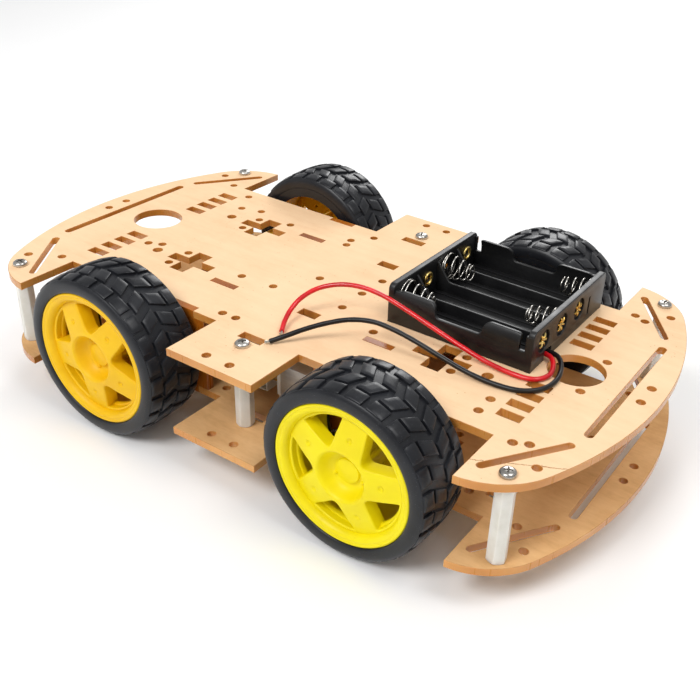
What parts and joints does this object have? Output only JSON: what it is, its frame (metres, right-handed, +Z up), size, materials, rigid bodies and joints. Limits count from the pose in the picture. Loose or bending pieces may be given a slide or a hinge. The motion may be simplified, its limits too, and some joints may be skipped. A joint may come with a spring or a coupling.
{
  "type": "four wheel robot chassis",
  "caption": "Two-deck acrylic robot chassis on geared motors with yellow spoked wheels, standoffs, slotted mounting holes and an open AA battery holder with bare leads.",
  "frame": {"origin": "ground level under the middle of the chassis, halfway between the four wheels", "axes": "+X along the decks towards the end that carries the battery holder, +Y to the left across the chassis, +Z up"},
  "size_m": [0.263, 0.1576, 0.066],
  "materials": {
    "deck_acrylic": "clear amber acrylic sheet under tan protective paper",
    "bracket_acrylic": "amber acrylic",
    "nylon_white": "satin translucent nylon",
    "zinc_steel": "nickel plated",
    "case_yellow": "satin moulded plastic",
    "rim_yellow": "satin moulded plastic",
    "tyre_rubber": "smooth moulded rubber",
    "can_steel": "plated steel can",
    "magnet": "sintered ferrite",
    "rotor_core": "steel core with copper windings",
    "gear_nylon": "moulded nylon",
    "strap_clear": "clear PVC strap",
    "terminal_brass": "bright",
    "holder_black": "moulded, slightly glossy",
    "spring_steel": "nickel plated wire",
    "eyelet_brass": "bright",
    "tape_foam": "thin double sided tape",
    "lead_red": "PVC insulation",
    "lead_black": "PVC insulation"
  },
  "bodies": {
    "chassis": {"upper_deck": "deck_acrylic", "lower_deck": "deck_acrylic", "standoffs": "nylon_white", "standoff_screws": "zinc_steel", "motor_brackets": "bracket_acrylic", "bracket_bolts": "zinc_steel", "bracket_nuts": "zinc_steel", "gearbox_screws": "zinc_steel", "gear_pins": "zinc_steel", "motor_end_caps": "nylon_white", "motor_magnets": "magnet", "motor_straps": "strap_clear", "motor_terminals": "terminal_brass", "gearbox_outer_fr": "case_yellow", "gearbox_inner_fr": "case_yellow", "motor_can_fr": "can_steel", "gearbox_outer_fl": "case_yellow", "gearbox_inner_fl": "case_yellow", "motor_can_fl": "can_steel", "gearbox_outer_rr": "case_yellow", "gearbox_inner_rr": "case_yellow", "motor_can_rr": "can_steel", "gearbox_outer_rl": "case_yellow", "gearbox_inner_rl": "case_yellow", "motor_can_rl": "can_steel", "battery_holder": "holder_black", "battery_springs": "spring_steel", "battery_eyelets": "eyelet_brass", "holder_tape": "tape_foam", "red_lead": "lead_red", "black_lead": "lead_black"},
    "wheel_front_right": {"tyre_fr": "tyre_rubber", "rim_fr": "rim_yellow", "output_shaft_fr": "nylon_white"},
    "third_gear_body_fr": {"third_gear_fr": "gear_nylon"},
    "middle_gear_body_fr": {"middle_gear_fr": "gear_nylon"},
    "crown_gear_body_fr": {"crown_gear_fr": "gear_nylon"},
    "rotor_body_fr": {"rotor_fr": "rotor_core"},
    "wheel_front_left": {"tyre_fl": "tyre_rubber", "rim_fl": "rim_yellow", "output_shaft_fl": "nylon_white"},
    "third_gear_body_fl": {"third_gear_fl": "gear_nylon"},
    "middle_gear_body_fl": {"middle_gear_fl": "gear_nylon"},
    "crown_gear_body_fl": {"crown_gear_fl": "gear_nylon"},
    "rotor_body_fl": {"rotor_fl": "rotor_core"},
    "wheel_rear_right": {"tyre_rr": "tyre_rubber", "rim_rr": "rim_yellow", "output_shaft_rr": "nylon_white"},
    "third_gear_body_rr": {"third_gear_rr": "gear_nylon"},
    "middle_gear_body_rr": {"middle_gear_rr": "gear_nylon"},
    "crown_gear_body_rr": {"crown_gear_rr": "gear_nylon"},
    "rotor_body_rr": {"rotor_rr": "rotor_core"},
    "wheel_rear_left": {"tyre_rl": "tyre_rubber", "rim_rl": "rim_yellow", "output_shaft_rl": "nylon_white"},
    "third_gear_body_rl": {"third_gear_rl": "gear_nylon"},
    "middle_gear_body_rl": {"middle_gear_rl": "gear_nylon"},
    "crown_gear_body_rl": {"crown_gear_rl": "gear_nylon"},
    "rotor_body_rl": {"rotor_rl": "rotor_core"}
  },
  "joints": [
    {"name": "wheel_spin_front_right", "type": "hinge", "parent": "chassis", "child": "wheel_front_right", "pos_m": [0.057, -0.0384, 0.0325], "axis": [0, 1, 0], "continuous": true},
    {"name": "third_gear_spin_fr", "type": "hinge", "parent": "chassis", "child": "third_gear_body_fr", "pos_m": [0.045, -0.0384, 0.0325], "axis": [0, 1, 0], "continuous": true},
    {"name": "middle_gear_spin_fr", "type": "hinge", "parent": "chassis", "child": "middle_gear_body_fr", "pos_m": [0.057, -0.0384, 0.0325], "axis": [0, 1, 0], "continuous": true},
    {"name": "crown_gear_spin_fr", "type": "hinge", "parent": "chassis", "child": "crown_gear_body_fr", "pos_m": [0.045, -0.0384, 0.0325], "axis": [0, 1, 0], "continuous": true},
    {"name": "rotor_spin_fr", "type": "hinge", "parent": "chassis", "child": "rotor_body_fr", "pos_m": [0.02, -0.0384, 0.0325], "axis": [1, 0, 0], "continuous": true},
    {"name": "wheel_spin_front_left", "type": "hinge", "parent": "chassis", "child": "wheel_front_left", "pos_m": [0.057, 0.0384, 0.0325], "axis": [0, 1, 0], "continuous": true},
    {"name": "third_gear_spin_fl", "type": "hinge", "parent": "chassis", "child": "third_gear_body_fl", "pos_m": [0.045, 0.0384, 0.0325], "axis": [0, 1, 0], "continuous": true},
    {"name": "middle_gear_spin_fl", "type": "hinge", "parent": "chassis", "child": "middle_gear_body_fl", "pos_m": [0.057, 0.0384, 0.0325], "axis": [0, 1, 0], "continuous": true},
    {"name": "crown_gear_spin_fl", "type": "hinge", "parent": "chassis", "child": "crown_gear_body_fl", "pos_m": [0.045, 0.0384, 0.0325], "axis": [0, 1, 0], "continuous": true},
    {"name": "rotor_spin_fl", "type": "hinge", "parent": "chassis", "child": "rotor_body_fl", "pos_m": [0.02, 0.0384, 0.0325], "axis": [1, 0, 0], "continuous": true},
    {"name": "wheel_spin_rear_right", "type": "hinge", "parent": "chassis", "child": "wheel_rear_right", "pos_m": [-0.057, -0.0384, 0.0325], "axis": [0, 1, 0], "continuous": true},
    {"name": "third_gear_spin_rr", "type": "hinge", "parent": "chassis", "child": "third_gear_body_rr", "pos_m": [-0.045, -0.0384, 0.0325], "axis": [0, 1, 0], "continuous": true},
    {"name": "middle_gear_spin_rr", "type": "hinge", "parent": "chassis", "child": "middle_gear_body_rr", "pos_m": [-0.057, -0.0384, 0.0325], "axis": [0, 1, 0], "continuous": true},
    {"name": "crown_gear_spin_rr", "type": "hinge", "parent": "chassis", "child": "crown_gear_body_rr", "pos_m": [-0.045, -0.0384, 0.0325], "axis": [0, 1, 0], "continuous": true},
    {"name": "rotor_spin_rr", "type": "hinge", "parent": "chassis", "child": "rotor_body_rr", "pos_m": [-0.02, -0.0384, 0.0325], "axis": [1, 0, 0], "continuous": true},
    {"name": "wheel_spin_rear_left", "type": "hinge", "parent": "chassis", "child": "wheel_rear_left", "pos_m": [-0.057, 0.0384, 0.0325], "axis": [0, 1, 0], "continuous": true},
    {"name": "third_gear_spin_rl", "type": "hinge", "parent": "chassis", "child": "third_gear_body_rl", "pos_m": [-0.045, 0.0384, 0.0325], "axis": [0, 1, 0], "continuous": true},
    {"name": "middle_gear_spin_rl", "type": "hinge", "parent": "chassis", "child": "middle_gear_body_rl", "pos_m": [-0.057, 0.0384, 0.0325], "axis": [0, 1, 0], "continuous": true},
    {"name": "crown_gear_spin_rl", "type": "hinge", "parent": "chassis", "child": "crown_gear_body_rl", "pos_m": [-0.045, 0.0384, 0.0325], "axis": [0, 1, 0], "continuous": true},
    {"name": "rotor_spin_rl", "type": "hinge", "parent": "chassis", "child": "rotor_body_rl", "pos_m": [-0.02, 0.0384, 0.0325], "axis": [1, 0, 0], "continuous": true}
  ],
  "couplings": [
    {"joint": "third_gear_spin_fr", "follows": "wheel_spin_front_right", "ratio": -3},
    {"joint": "middle_gear_spin_fr", "follows": "wheel_spin_front_right", "ratio": 6},
    {"joint": "crown_gear_spin_fr", "follows": "wheel_spin_front_right", "ratio": -18},
    {"joint": "rotor_spin_fr", "follows": "wheel_spin_front_right", "ratio": -48},
    {"joint": "third_gear_spin_fl", "follows": "wheel_spin_front_left", "ratio": -3},
    {"joint": "middle_gear_spin_fl", "follows": "wheel_spin_front_left", "ratio": 6},
    {"joint": "crown_gear_spin_fl", "follows": "wheel_spin_front_left", "ratio": -18},
    {"joint": "rotor_spin_fl", "follows": "wheel_spin_front_left", "ratio": 48},
    {"joint": "third_gear_spin_rr", "follows": "wheel_spin_rear_right", "ratio": -3},
    {"joint": "middle_gear_spin_rr", "follows": "wheel_spin_rear_right", "ratio": 6},
    {"joint": "crown_gear_spin_rr", "follows": "wheel_spin_rear_right", "ratio": -18},
    {"joint": "rotor_spin_rr", "follows": "wheel_spin_rear_right", "ratio": 48},
    {"joint": "third_gear_spin_rl", "follows": "wheel_spin_rear_left", "ratio": -3},
    {"joint": "middle_gear_spin_rl", "follows": "wheel_spin_rear_left", "ratio": 6},
    {"joint": "crown_gear_spin_rl", "follows": "wheel_spin_rear_left", "ratio": -18},
    {"joint": "rotor_spin_rl", "follows": "wheel_spin_rear_left", "ratio": -48}
  ]
}
